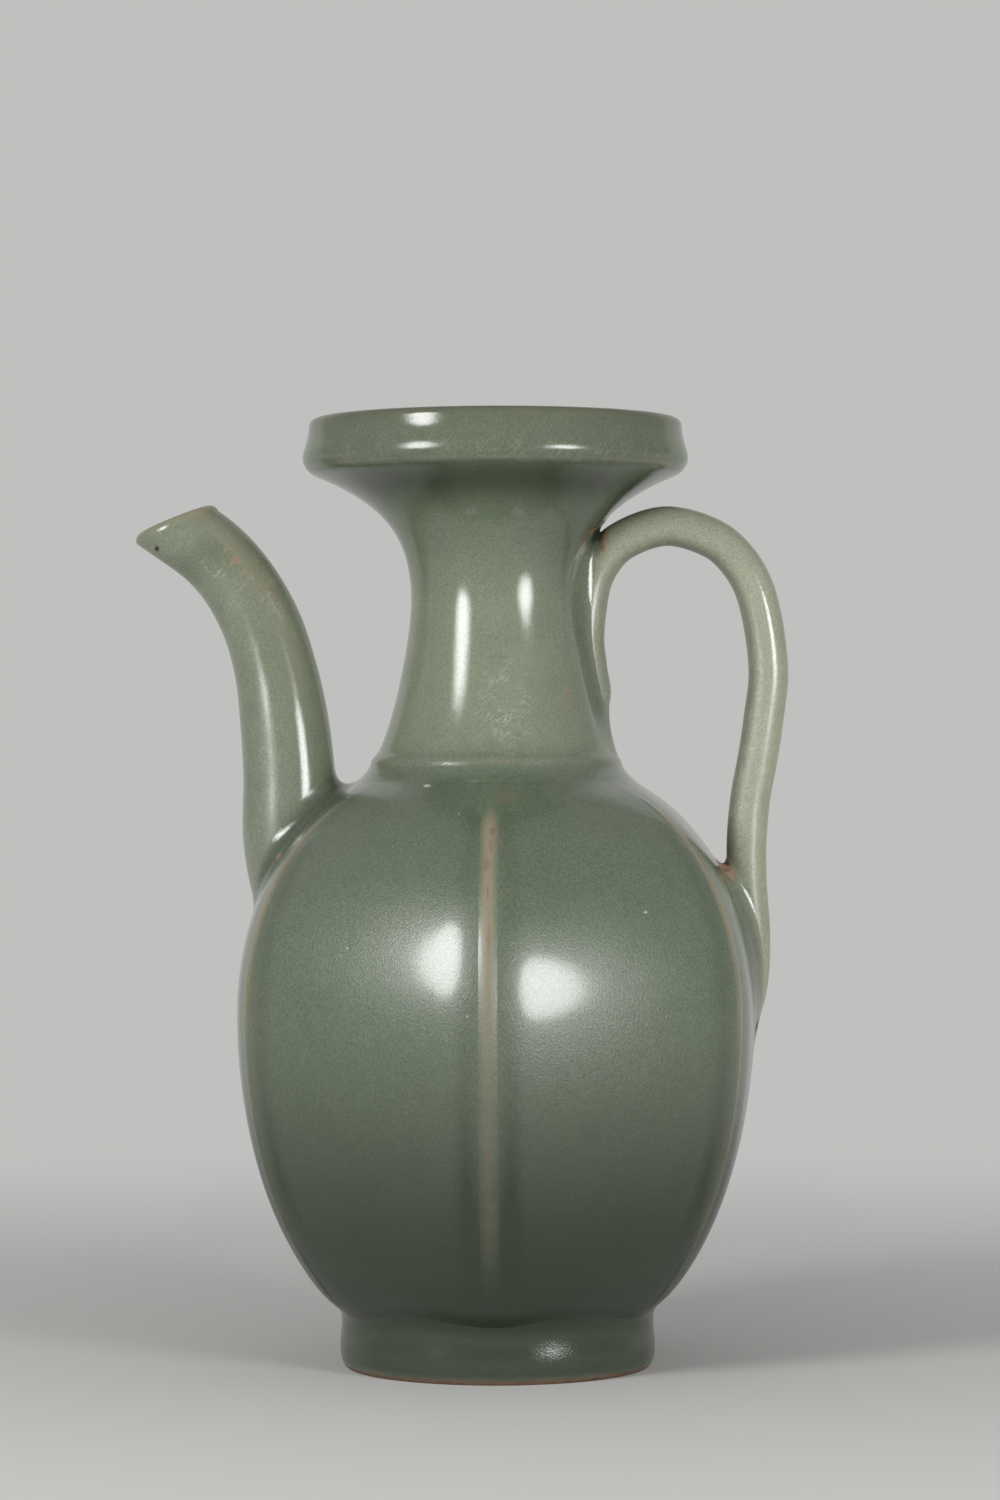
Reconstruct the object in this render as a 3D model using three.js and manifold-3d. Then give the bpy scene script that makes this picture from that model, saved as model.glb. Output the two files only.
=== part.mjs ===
// Celadon ewer: a six-lobed body on a round foot, with a ribbed belly, a tall neck, a dish mouth,
// a curved spout and a rod handle. All of it is thrown, moulded or rolled clay, joined with slip.
//
// Millimetres, +Z up. The spout points to -X, the handle to +X and one rib to -Y. The origin lies
// on the plane that the foot rests on, midway between the spout's tip and the handle's back.

import * as THREE from "three";
import { mergeVertices } from "three/addons/utils/BufferGeometryUtils.js";
import Module from "manifold-3d";

const wasm = await Module();
wasm.setup();

// Heights, each from the one before it
const FOOT_HEIGHT = 16;
const BELLY_RISE = 74; // from the foot's top to the widest part of the belly
const SHOULDER_RISE = 58; // from there to the seat of the neck
const NECK_RISE = 46; // from the seat to the narrowest part of the neck
const FLARE_RISE = 32.8; // from there to the corner under the dish's side
const DISH_HEIGHT = 13.2; // from the corner to the lip

// Radii from the axis, at the middle of a panel where the section is lobed
const FOOT_RADIUS = 40.1;
const BELLY_RADIUS = 65.3;
const NECK_SEAT_RADIUS = 35;
const NECK_RADIUS = 21.5;
const FLARE_RADIUS = 48.7; // of that corner, before it is rounded
const DISH_RADIUS = 49.1;
const LIP_RADIUS = 47.3;
const DISH_EDGE = 3; // height over the corner at which the dish is widest
const DISH_WAIST = 7.2; // height over the corner up to which its side draws in

// Walls and gaps
const BODY_WALL = 4.5;
const NECK_WALL = 4.2;
const DISH_WALL = 4;
const FLOOR_THICKNESS = 6;
const FOOT_RECESS = 7; // depth of the hollow under the foot
const FOOT_WALL = 6;
const FOOT_EDGE = 0.9; // rounding of its lower edges
const SEAT_GAP = 0.3; // slip joint between two curved faces

// Lobes and ribs
const LOBES = 6;
const LOBE_SWELL = 0.076; // how much further out a rib stands than a panel's middle
const RIB_WIDTH = 4.2;
const RIB_THICKNESS = 0.8;

// Shapes of the curves
const BELLY_POWER = 1.39; // below the widest part: fuller as it grows
const SHOULDER_POWER = 2.65; // above it
const NECK_POWER = 1.55; // slope of the neck below its narrowest part
const NECK_SKIRT = 3.5; // how far the clay spreads just above the neck's seat
const SKIRT_POWER = 8;
const RING_RISE = 2.2; // of the clay ring over the neck's seat
const RING_HEIGHT = 4.8;
const RING_THICKNESS = 1;
const FLARE_MIX = 0.39; // share of the flare that grows with the square, the rest with the fourth power
const DISH_SEAT_RISE = 16; // how far above the neck's narrowest part the dish is joined on

// Spout
const SPOUT_ROOT_RISE = 43; // from the belly's widest part to where the middle line crosses the wall
const SPOUT_REACH = 31; // of the mouth's middle, out from there
const SPOUT_RISE = 81.3; // of the mouth's middle, up from there
const SPOUT_RADIUS = 12.1; // at the wall
const SPOUT_WALL = 3.6;
const SPOUT_MOUTH_TILT = 22; // degrees that the mouth's plane rises towards the neck
const SPOUT_TIP_REACH = 9; // from the mouth's middle to its blunt lower tip

// Handle
const HANDLE_RADIUS = 5.1; // of the rod
const HANDLE_REACH = 69.1; // from the axis to the middle of the rod
const HANDLE_DROP = 14.1; // from the corner under the dish to the top of the rod's middle line

// Facets
const SEGMENTS = 48; // round the axis, a multiple of twice the lobes
const SPOUT_SIDES = 18;
const SPOUT_STEPS = 26;
const BORE_SIDES = 12;
const BORE_STEPS = 18;
const HANDLE_SIDES = 14;
const HANDLE_STEPS = 48;

const footTop = FOOT_HEIGHT;
const bellyHeight = footTop + BELLY_RISE;
const neckSeat = bellyHeight + SHOULDER_RISE;
const neckWaist = neckSeat + NECK_RISE;
const dishSeat = neckWaist + DISH_SEAT_RISE;
const dishCorner = neckWaist + FLARE_RISE;
const lipHeight = dishCorner + DISH_HEIGHT;

const point = (radius, height) => new THREE.Vector2(radius, height);
const steps = (count) => Array.from({ length: count + 1 }, (_, i) => i / count);
const radians = THREE.MathUtils.degToRad;

// Outline of the body

// The dome over the belly would close on the axis at this rise, so that it meets the neck's seat.
const shoulderShare = Math.sqrt(1 - (NECK_SEAT_RADIUS / BELLY_RADIUS) ** SHOULDER_POWER);
const domeRise = SHOULDER_RISE / shoulderShare;

// Radius of the body at a height, in the middle of a panel: two superellipse quarters.
function bodyRadius(height) {
  if (height >= bellyHeight) {
    const s = Math.min((height - bellyHeight) / domeRise, 1);
    return BELLY_RADIUS * (1 - s * s) ** (1 / SHOULDER_POWER);
  }
  const t = Math.min((bellyHeight - height) / BELLY_RISE, 1);
  return FOOT_RADIUS + (BELLY_RADIUS - FOOT_RADIUS) * (1 - t * t) ** (1 / BELLY_POWER);
}

function lowerOutline(count) {
  return steps(count).map((i) => {
    const t = Math.sin((1 - i) * (Math.PI / 2));
    const height = bellyHeight - BELLY_RISE * t;
    return point(bodyRadius(height), height);
  });
}

function upperOutline(count) {
  return steps(count).map((i) => {
    const height = bellyHeight + domeRise * Math.sin(i * Math.asin(shoulderShare));
    return point(i === 1 ? NECK_SEAT_RADIUS : bodyRadius(height), height);
  });
}

// Outline of the neck and its flare

function neckRadius(height) {
  if (height <= neckWaist) {
    const t = (neckWaist - height) / NECK_RISE;
    const cone = NECK_SEAT_RADIUS - NECK_SKIRT - NECK_RADIUS;
    return NECK_RADIUS + cone * t ** NECK_POWER + NECK_SKIRT * t ** SKIRT_POWER;
  }
  const t = (height - neckWaist) / FLARE_RISE;
  const opening = FLARE_MIX * t ** 2 + (1 - FLARE_MIX) * t ** 4;
  return NECK_RADIUS + (FLARE_RADIUS - NECK_RADIUS) * opening;
}

// Radius of the neck's bore: the outside, less the wall measured square to it.
function boreRadius(height) {
  const slope = neckRadius(height + 0.5) - neckRadius(height - 0.5);
  return neckRadius(height) - NECK_WALL * Math.hypot(1, slope);
}

// Outline of the neck between two heights, with more points at the lower one.
const neckOutline = (from, to, count) =>
  steps(count).map((i) => {
    const height = from + (to - from) * i ** 1.4;
    return point(neckRadius(height), height);
  });

// Outside of the dish, from its seat on the neck to the start of the lip.
function dishOutline() {
  const flareTop = dishCorner - FLARE_RISE * 0.05;
  const flare = steps(5).map((i) => {
    const height = dishSeat + (flareTop - dishSeat) * Math.sin(i * (Math.PI / 2));
    return point(neckRadius(height), height);
  });
  return [
    ...flare,
    point(DISH_RADIUS - DISH_EDGE * 0.3, dishCorner + DISH_EDGE * 0.23),
    point(DISH_RADIUS, dishCorner + DISH_EDGE),
    point(DISH_RADIUS * 0.35 + LIP_RADIUS * 0.65, dishCorner + DISH_WAIST),
    point(LIP_RADIUS, lipHeight - DISH_WALL / 2),
  ];
}

// The outline moved square to itself: outwards for a positive distance.
function offset(outline, distance) {
  return outline.map((p, i) => {
    const before = outline[Math.max(i - 1, 0)];
    const after = outline[Math.min(i + 1, outline.length - 1)];
    const along = after.clone().sub(before).normalize();
    return point(p.x + along.y * distance, p.y - along.x * distance);
  });
}

// Solids of revolution and their lobes

function revolve(profile) {
  return new THREE.LatheGeometry(profile, SEGMENTS).rotateX(Math.PI / 2);
}

// How much wider than a panel's middle the body is at this azimuth and height: a parabola across
// each panel, which dies out at the foot and at the neck.
function lobeFactor(azimuth, height) {
  const panel = (2 * Math.PI) / LOBES;
  const across = Math.abs(azimuth / panel - Math.round(azimuth / panel)) * 2;
  const middle = (footTop + neckSeat) / 2;
  const along = Math.min(Math.abs(height - middle) / (neckSeat - middle), 1);
  return 1 + LOBE_SWELL * across ** 2 * (1 - along ** 6);
}

function lobed(geometry) {
  const places = geometry.getAttribute("position");
  for (let i = 0; i < places.count; i++) {
    const factor = lobeFactor(Math.atan2(places.getY(i), places.getX(i)), places.getZ(i));
    places.setXY(i, places.getX(i) * factor, places.getY(i) * factor);
  }
  return geometry;
}

// Joining and cutting

function solidOf(geometry) {
  const bare = geometry.clone();
  bare.deleteAttribute("normal");
  bare.deleteAttribute("uv");
  const merged = mergeVertices(bare, 1e-3);
  return new wasm.Manifold(
    new wasm.Mesh({
      numProp: 3,
      vertProperties: merged.getAttribute("position").array,
      triVerts: new Uint32Array(merged.index.array),
    }),
  );
}

function geometryOf(solid) {
  const mesh = solid.getMesh();
  const geometry = new THREE.BufferGeometry();
  geometry.setAttribute("position", new THREE.BufferAttribute(mesh.vertProperties, 3));
  geometry.setIndex(new THREE.BufferAttribute(mesh.triVerts, 1));
  geometry.computeVertexNormals();
  return geometry;
}

// A round rod along a line in the XZ plane, with its radius given at each point of the line.
function rod(line, sides, count) {
  const curve = new THREE.CatmullRomCurve3(line.map(([x, z]) => new THREE.Vector3(x, 0, z)));
  const last = line.length - 1;
  const positions = [];
  const index = [];
  steps(count).forEach((i) => {
    const centre = curve.getPoint(i);
    const along = curve.getTangent(i);
    const from = Math.min(Math.floor(i * last), last - 1);
    const radius = THREE.MathUtils.lerp(line[from][2], line[from + 1][2], i * last - from);
    for (let side = 0; side < sides; side++) {
      const angle = (2 * Math.PI * side) / sides;
      const across = radius * Math.cos(angle);
      positions.push(
        centre.x + along.z * across,
        radius * Math.sin(angle),
        centre.z - along.x * across,
      );
    }
  });
  for (let ring = 0; ring < count; ring++) {
    for (let side = 0; side < sides; side++) {
      const a = ring * sides + side;
      const b = ring * sides + ((side + 1) % sides);
      index.push(a, b, b + sides, a, b + sides, a + sides);
    }
  }
  const end = count * sides;
  for (let side = 1; side < sides - 1; side++) {
    index.push(0, side + 1, side);
    index.push(end, end + side, end + side + 1);
  }
  const geometry = new THREE.BufferGeometry();
  geometry.setAttribute("position", new THREE.Float32BufferAttribute(positions, 3));
  geometry.setIndex(index);
  return geometry;
}

// Foot ring, turned and joined under the body, with a hollow under it
function footRing() {
  const inner = FOOT_RADIUS - FOOT_WALL;
  const outer = FOOT_RADIUS;
  return revolve([
    point(inner, FOOT_EDGE),
    point(inner + FOOT_EDGE, 0),
    point(outer - FOOT_EDGE * 2, 0),
    point(outer - FOOT_EDGE, FOOT_EDGE),
    point(outer - 0.1, footTop * 0.28),
    point(outer - 0.1, footTop * 0.5),
    point(outer - 0.5, footTop * 0.8),
    point(outer, footTop),
    point(inner, footTop),
    point(inner, FOOT_EDGE),
  ]);
}

// Lower half of the body: its floor sits inside the foot ring and its flat rim on top of it
function bodyLower() {
  const outline = lowerOutline(10);
  const plug = FOOT_RADIUS - FOOT_WALL - SEAT_GAP;
  const floorTop = FOOT_RECESS + FLOOR_THICKNESS;
  const inside = offset(outline, -BODY_WALL).filter((p) => p.y > footTop + BODY_WALL + 1);
  const edge = inside[0];
  const bowl = steps(4).slice(0, -1)
    .map((i) => point(edge.x * i, floorTop + (edge.y - floorTop) * i ** 3));
  inside[inside.length - 1].y = bellyHeight;
  return lobed(revolve([
    point(0, FOOT_RECESS),
    point(plug, FOOT_RECESS),
    point(plug, footTop),
    ...outline,
    ...inside.reverse(),
    ...bowl.reverse(),
  ]));
}

// Upper half of the body, open for the neck and pierced behind the spout
function bodyUpper() {
  const outline = upperOutline(9);
  const opening = boreRadius(neckSeat);
  const inside = offset(outline, -BODY_WALL).filter((p) => p.x > opening + 1);
  inside[0].y = bellyHeight;
  const shell = lobed(revolve([
    ...outline,
    point(opening, neckSeat),
    point(opening, inside[inside.length - 1].y),
    ...inside.reverse(),
    outline[0],
  ]));
  return geometryOf(solidOf(shell).subtract(solidOf(spoutBore())));
}

// Ring of clay that covers the joint of neck and body
function neckRing() {
  const base = neckSeat + RING_RISE;
  const inner = offset(neckOutline(base, base + RING_HEIGHT, 4), SEAT_GAP);
  const outer = inner.map((p, i) => {
    const share = 0.2 + 0.8 * Math.sin((i / 4) * Math.PI);
    return point(p.x + RING_THICKNESS * share, p.y);
  });
  return revolve([...outer, ...inner.reverse(), outer[0]]);
}

// Neck, open from end to end
function neck() {
  const outline = neckOutline(neckSeat, dishSeat, 10);
  const bore = neckOutline(neckSeat, dishSeat, 7).map((p) => point(boreRadius(p.y), p.y));
  return revolve([...outline, ...bore.reverse(), outline[0]]);
}

// Dish mouth: a flare that opens into a shallow cup with a rounded lip
function dishMouth() {
  const outline = dishOutline();
  const inside = offset(outline, -DISH_WALL).filter((p) => p.y > dishSeat + 2 * DISH_WALL);
  const lip = steps(4).slice(1, -1).map((i) => {
    const angle = i * Math.PI;
    return point(
      LIP_RADIUS - (DISH_WALL / 2) * (1 - Math.cos(angle)),
      lipHeight - (DISH_WALL / 2) * (1 - Math.sin(angle)),
    );
  });
  inside[inside.length - 1].set(LIP_RADIUS - DISH_WALL, lipHeight - DISH_WALL / 2);
  return revolve([
    ...outline,
    ...lip,
    ...inside.reverse(),
    point(boreRadius(dishSeat), dishSeat),
    outline[0],
  ]);
}

// The whole pot as one full shape, grown by the slip gap, which the spout and the handle are cut to.
function potHull() {
  const outline = [
    ...lowerOutline(10).slice(1, -1),
    ...upperOutline(9),
    ...neckOutline(neckSeat, dishSeat, 10).slice(1, -1),
    ...dishOutline(),
  ];
  const grown = offset(outline, SEAT_GAP);
  return solidOf(lobed(revolve([
    point(0, grown[0].y),
    ...grown,
    point(0, grown[grown.length - 1].y),
  ])));
}

// Middle line of the spout from inside the body to past its mouth, with the radius less the wall.
// Each point is a share of the reach, of the rise and of the radius at the wall.
function spoutLine(wall) {
  const rootHeight = bellyHeight + SPOUT_ROOT_RISE;
  const root = bodyRadius(rootHeight);
  return [
    [-0.29, -0.332, 0.95],
    [-0.103, -0.172, 1.017],
    [0, 0, 1],
    [0.013, 0.209, 0.967],
    [0.058, 0.394, 0.926],
    [0.123, 0.535, 0.868],
    [0.229, 0.67, 0.835],
    [0.416, 0.803, 0.802],
    [0.635, 0.9, 0.785],
    [1, 1, 0.769],
    [1.355, 1.089, 0.752],
  ].map(([out, up, radius]) => [
    -root - SPOUT_REACH * out,
    rootHeight + SPOUT_RISE * up,
    SPOUT_RADIUS * radius - wall,
  ]);
}

function spoutBore() {
  return rod(spoutLine(SPOUT_WALL), BORE_SIDES, BORE_STEPS);
}

// Spout: a bent tube, cut aslant at its mouth and to the shoulder's curve at its root
function spout(hull) {
  const line = spoutLine(0);
  const [mouthX, mouthZ] = line[line.length - 2];
  const cutterSize = 60;
  const cutter = new THREE.BoxGeometry(cutterSize, cutterSize, cutterSize)
    .translate(0, 0, cutterSize / 2)
    .rotateY(-radians(SPOUT_MOUTH_TILT))
    .translate(mouthX, 0, mouthZ);
  const blunt = new THREE.BoxGeometry(cutterSize, cutterSize, cutterSize)
    .translate(mouthX - SPOUT_TIP_REACH - cutterSize / 2, 0, mouthZ);
  return geometryOf(
    solidOf(rod(line, SPOUT_SIDES, SPOUT_STEPS))
      .subtract(solidOf(spoutBore()))
      .subtract(solidOf(cutter))
      .subtract(solidOf(blunt))
      .subtract(hull),
  );
}

// Handle: a rolled rod that lies along the neck, arches out under the dish and lies on the belly.
// The line's points on the neck and the body are shares of the height of each and of the rod's
// radius, by which they stand proud of the wall. Those of the arch are shares of its reach from
// the narrowest part of the neck and of its drop to the belly.
function handle(hull) {
  const top = dishCorner - HANDLE_DROP;
  const onNeck = (below, proud, thick) => {
    const height = neckWaist - NECK_RISE * below;
    return [neckRadius(height) + HANDLE_RADIUS * proud, height, HANDLE_RADIUS * thick];
  };
  const onArch = (reach, drop) => [
    THREE.MathUtils.lerp(NECK_RADIUS, HANDLE_REACH, reach),
    THREE.MathUtils.lerp(top, bellyHeight, drop),
    HANDLE_RADIUS,
  ];
  const onBody = (above, proud, thick) => {
    const height = bellyHeight + SHOULDER_RISE * above;
    return [bodyRadius(height) + HANDLE_RADIUS * proud, height, HANDLE_RADIUS * thick];
  };
  const line = [
    onNeck(0.674, -0.88, 0.7),
    onNeck(0.533, -0.235, 1),
    onNeck(0.391, -0.1, 1),
    onNeck(0.217, 0.02, 1),
    onNeck(0.044, 0.31, 1),
    onArch(0.065, 0.111),
    onArch(0.126, 0.066),
    onArch(0.223, 0.03),
    onArch(0.458, 0),
    onArch(0.695, 0.024),
    onArch(0.811, 0.059),
    onArch(0.924, 0.129),
    onArch(1, 0.293),
    onArch(0.975, 0.396),
    onArch(0.943, 0.478),
    onArch(0.903, 0.561),
    onBody(0.741, 2.2, 1),
    onBody(0.569, 1.06, 0.97),
    onBody(0.31, 0.35, 0.85),
    onBody(0.086, -0.04, 0.7),
    onBody(-0.155, -0.69, 0.45),
  ];
  return geometryOf(solidOf(rod(line, HANDLE_SIDES, HANDLE_STEPS)).subtract(hull));
}

// Rib: a strip of clay laid down the corner between two panels
function rib(azimuth) {
  const outline = [...lowerOutline(10).slice(1, -1), ...upperOutline(9).slice(0, -1)];
  const last = outline.length - 1;
  const positions = [];
  const index = [];
  outline.forEach((p, row) => {
    const before = outline[Math.max(row - 1, 0)];
    const after = outline[Math.min(row + 1, last)];
    const along = after.clone().sub(before).normalize();
    const fade = row === 0 || row === last ? 0.35 : 1;
    const half = (RIB_WIDTH / 2) * (row === 0 || row === last ? 0.6 : 1);
    const section = [
      [-1, 0],
      [-1, 0.25],
      [-0.5, 0.8],
      [0, 1],
      [0.5, 0.8],
      [1, 0.25],
      [1, 0],
      [0, 0],
    ];
    section.forEach(([side, lift]) => {
      const turn = azimuth + (side * half) / p.x;
      const rise = SEAT_GAP + RIB_THICKNESS * fade * lift;
      const radius = p.x * lobeFactor(turn, p.y) + along.y * rise;
      positions.push(radius * Math.cos(turn), radius * Math.sin(turn), p.y - along.x * rise);
    });
  });
  const sides = 8;
  for (let row = 0; row < last; row++) {
    for (let side = 0; side < sides; side++) {
      const a = row * sides + side;
      const b = row * sides + ((side + 1) % sides);
      index.push(a, b + sides, a + sides, a, b, b + sides);
    }
  }
  const end = last * sides;
  for (let side = 0; side < sides - 2; side++) {
    index.push(sides - 1, side + 1, side);
    index.push(end + sides - 1, end + side, end + side + 1);
  }
  const geometry = new THREE.BufferGeometry();
  geometry.setAttribute("position", new THREE.Float32BufferAttribute(positions, 3));
  geometry.setIndex(index);
  return geometry;
}

// Assembly

const GLAZE = { color: 0x7f8b73, roughness: 0.28, metalness: 0 };
const THIN_GLAZE = { color: 0x9c8f78, roughness: 0.3, metalness: 0 };

const ewer = new THREE.Group();

function add(name, geometry, finish) {
  const mesh = new THREE.Mesh(geometry, new THREE.MeshStandardMaterial(finish));
  mesh.name = name;
  ewer.add(mesh);
}

const hull = potHull();
add("foot_ring", footRing(), GLAZE);
add("body_lower", bodyLower(), GLAZE);
add("body_upper", bodyUpper(), GLAZE);
add("neck_ring", neckRing(), GLAZE);
add("neck", neck(), GLAZE);
add("dish_mouth", dishMouth(), GLAZE);
add("spout", spout(hull), GLAZE);
add("handle", handle(hull), GLAZE);

const RIB_NAMES = [
  "rib_right_back",
  "rib_back",
  "rib_left_back",
  "rib_left_front",
  "rib_front",
  "rib_right_front",
];
RIB_NAMES.forEach((name, i) => {
  add(name, rib(((i + 0.5) * 2 * Math.PI) / LOBES), THIN_GLAZE);
});

// The ewer stands midway between its spout's tip and its handle's back.
const box = new THREE.Box3().setFromObject(ewer, true);
ewer.position.x = -(box.min.x + box.max.x) / 2;

export default ewer;
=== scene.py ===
"""Celadon ewer: the glazed surfaces and their finish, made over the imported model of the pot."""
import bmesh
import bpy
import numpy as np
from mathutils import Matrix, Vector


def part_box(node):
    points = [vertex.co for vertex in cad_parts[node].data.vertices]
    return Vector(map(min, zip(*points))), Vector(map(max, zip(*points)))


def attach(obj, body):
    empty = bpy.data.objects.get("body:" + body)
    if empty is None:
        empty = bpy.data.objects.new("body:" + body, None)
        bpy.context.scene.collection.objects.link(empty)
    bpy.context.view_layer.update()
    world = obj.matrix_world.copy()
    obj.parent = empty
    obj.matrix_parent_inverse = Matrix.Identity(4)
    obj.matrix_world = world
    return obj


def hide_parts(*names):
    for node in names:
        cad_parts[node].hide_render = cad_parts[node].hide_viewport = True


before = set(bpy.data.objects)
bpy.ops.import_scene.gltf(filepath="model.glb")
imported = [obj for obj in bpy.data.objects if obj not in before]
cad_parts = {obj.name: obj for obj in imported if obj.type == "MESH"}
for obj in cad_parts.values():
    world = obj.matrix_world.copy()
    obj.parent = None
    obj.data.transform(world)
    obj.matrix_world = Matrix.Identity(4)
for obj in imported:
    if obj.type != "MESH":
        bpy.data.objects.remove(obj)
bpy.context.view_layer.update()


# Clay wall: one outline for the foot, the body, the neck and the dish, which a potter makes in parts
# and joins with slip, so that under the glaze they read as one surface. The spout and the handle
# come right after it, because the wall's glaze pools along their joints.

def corners(node):
    """Lowest and highest corner of a CAD node as arrays, in metres."""
    low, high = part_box(node)
    return np.array(low), np.array(high)


foot_low, foot_high = corners("foot_ring")
belly_low, belly_high = corners("body_lower")
neck_low, neck_high = corners("neck")
dish_low, dish_high = corners("dish_mouth")

AXIS_X = (neck_low[0] + neck_high[0]) / 2
FOOT_TOP = foot_high[2]
FOOT_RADIUS = (foot_high[0] - foot_low[0]) / 2
BELLY_HEIGHT = belly_high[2]
BELLY_RADIUS = (belly_high[0] - belly_low[0]) / 2
NECK_SEAT = neck_low[2]
NECK_SEAT_RADIUS = (neck_high[0] - neck_low[0]) / 2
DISH_SEAT = dish_low[2]
DISH_RADIUS = (dish_high[0] - dish_low[0]) / 2
LIP_HEIGHT = dish_high[2]
NECK_WAIST = 0.194
NECK_RADIUS = 0.0215
NECK_SKIRT = 0.0035
DISH_CORNER = 0.2268
CORNER_GAP = 0.0006
FLARE_RADIUS = 0.0487
FLARE_MIX = 0.39
LOBES = 6
LOBE_SWELL = 0.076
CORNER_ROUND = 0.275
ROUND_FROM = 0.6
SAG_DEPTH = 0.0016
SAG_REACH = 0.008
SHOULDER_POWER = 2.65
BELLY_POWER = 1.39
NECK_POWER = 1.55
OUTLINE_GAP = 0.0005
# Points up the foot and up the dish's side, in millimetres out from their radius and up from their start
FOOT_PROFILE = np.array([[-1.8, 0], [-0.7, 0.9], [-0.2, 3.5], [-0.1, 6], [-0.6, 10.5], [-0.8, 14.8]]) / 1000
DISH_PROFILE = np.array([[-0.1, 2.1], [-0.2, 4.2], [-0.9, 6.4], [-1.5, 8.6], [-1.8, 11.5]]) / 1000


def bell(values, centre, reach):
    """A bell curve over values: e to the power of minus the squared share of the reach."""
    return np.exp(-((values - centre) / reach) ** 2)


def travelled(points):
    """Distance along a polyline from its start to each of its points."""
    return np.concatenate([[0], np.cumsum(np.linalg.norm(np.diff(points, axis=0), axis=1))])


def resample(points, gap):
    """The polyline with points at an even distance along it, about gap apart."""
    run = travelled(points)
    even = np.linspace(0, run[-1], int(round(run[-1] / gap)) + 1)
    return np.stack([np.interp(even, run, points[:, k]) for k in range(points.shape[1])], axis=1)


def soften(points, reach):
    """The polyline with each point a Gaussian mean of its neighbours: its corners become curves."""
    gap = np.linalg.norm(points[1] - points[0])
    half = int(3 * reach / gap)
    weights = np.exp(-0.5 * (np.arange(-half, half + 1) * gap / reach) ** 2)
    weights /= weights.sum()
    padded = np.concatenate([np.repeat(points[:1], half, 0), points, np.repeat(points[-1:], half, 0)])
    smooth = np.stack([np.convolve(padded[:, k], weights, "valid") for k in range(2)], axis=1)
    smooth[0], smooth[-1] = points[0], points[-1]
    return smooth


def neck_radius(height):
    """Radius of the neck and its flare: its narrowest, and two powers of the way down or up."""
    down = np.clip((NECK_WAIST - height) / (NECK_WAIST - NECK_SEAT), 0, 1)
    up = np.clip((height - NECK_WAIST) / (DISH_CORNER - NECK_WAIST), 0, 1)
    cone = NECK_SEAT_RADIUS - NECK_SKIRT - NECK_RADIUS
    flare = FLARE_MIX * up ** 2 + (1 - FLARE_MIX) * up ** 4
    return (NECK_RADIUS + cone * down ** NECK_POWER + NECK_SKIRT * down ** 8
            + (FLARE_RADIUS - NECK_RADIUS) * flare)


def pot_outline():
    """(radius, height) up the outside: the foot, two superellipse quarters, the neck with its flare,
    and the dish's side, which bulges above its corner and draws in a little under the lip. The
    creases over the foot and round the neck are rounder than the other corners."""
    t = np.sin(np.linspace(np.pi / 2 * 0.98, 0, 120))
    lower = np.stack([
        FOOT_RADIUS + (BELLY_RADIUS - FOOT_RADIUS) * (1 - t ** 2) ** (1 / BELLY_POWER),
        BELLY_HEIGHT - (BELLY_HEIGHT - FOOT_TOP) * t,
    ], axis=1)
    share = np.sqrt(1 - (NECK_SEAT_RADIUS / BELLY_RADIUS) ** SHOULDER_POWER)
    s = np.linspace(0, share, 120)[1:]
    dome = (NECK_SEAT - BELLY_HEIGHT) / share
    upper = np.stack([
        BELLY_RADIUS * (1 - s ** 2) ** (1 / SHOULDER_POWER), BELLY_HEIGHT + dome * s,
    ], axis=1)
    z = np.linspace(NECK_SEAT, DISH_CORNER - CORNER_GAP, 160)[1:]
    neck = np.stack([neck_radius(z), z], axis=1)
    line = resample(np.concatenate([
        FOOT_PROFILE + [FOOT_RADIUS, 0], lower, upper, neck, DISH_PROFILE + [DISH_RADIUS, DISH_CORNER],
    ]), OUTLINE_GAP)
    height = line[:, 1:]
    crease = bell(height, FOOT_TOP, 0.006) + bell(height, NECK_SEAT, 0.0045)
    return soften(line, 0.0009) * (1 - crease) + soften(line, 0.0026) * crease


outline = pot_outline()
# The ring of clay over the joint of neck and shoulder
RING_HEIGHT = NECK_SEAT + 0.0056
RING_RISE = 0.0006
RING_REACH = 0.0013
outline[:, 0] += RING_RISE * bell(outline[:, 1], RING_HEIGHT, RING_REACH)


def outline_radius(height):
    """Radius of the outline at a height, in the middle of a panel."""
    return np.interp(height, outline[:, 1], outline[:, 0])


def lobe(azimuth, height):
    """Share by which the wall stands further out than in a panel's middle, and the way across the
    panel, from 0 in its middle to 1 at its corners. The share is a parabola across each of the six
    panels, rounded off beside the corners and dying out at the foot and at the neck."""
    panel = 2 * np.pi / LOBES
    across = np.abs(azimuth / panel - np.round(azimuth / panel)) * 2
    middle = (FOOT_TOP + NECK_SEAT) / 2
    along = np.clip(np.abs(height - middle) / (NECK_SEAT - middle), 0, 1)
    corner = np.clip((across - ROUND_FROM) / (1 - ROUND_FROM), 0, 1)
    bulge = (1 + CORNER_ROUND) * across ** 2 - CORNER_ROUND * corner ** 3
    return LOBE_SWELL * bulge * (1 - along ** 6), across


def turned(radius, height, azimuth):
    """Points of the lobed pot for arrays of radius, height and azimuth, in the part's frame. Near
    the foot the corners between the panels hang a little lower than their middles."""
    swell, across = lobe(azimuth, height)
    sag = (0.5 - 0.5 * np.cos(np.pi * across)) ** 1.5
    dip = SAG_DEPTH * sag * bell(height, FOOT_TOP + 0.002, SAG_REACH)
    wide = radius * (1 + swell)
    return np.stack([
        AXIS_X + wide * np.cos(azimuth), wide * np.sin(azimuth), height - dip,
    ], axis=-1)


# Spout: a tapering stoneware tube rolled round a stick, bent while it is soft, cut aslant at its
# mouth and joined with slip over a hole in the shoulder. The glaze runs on over the joint.

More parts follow.
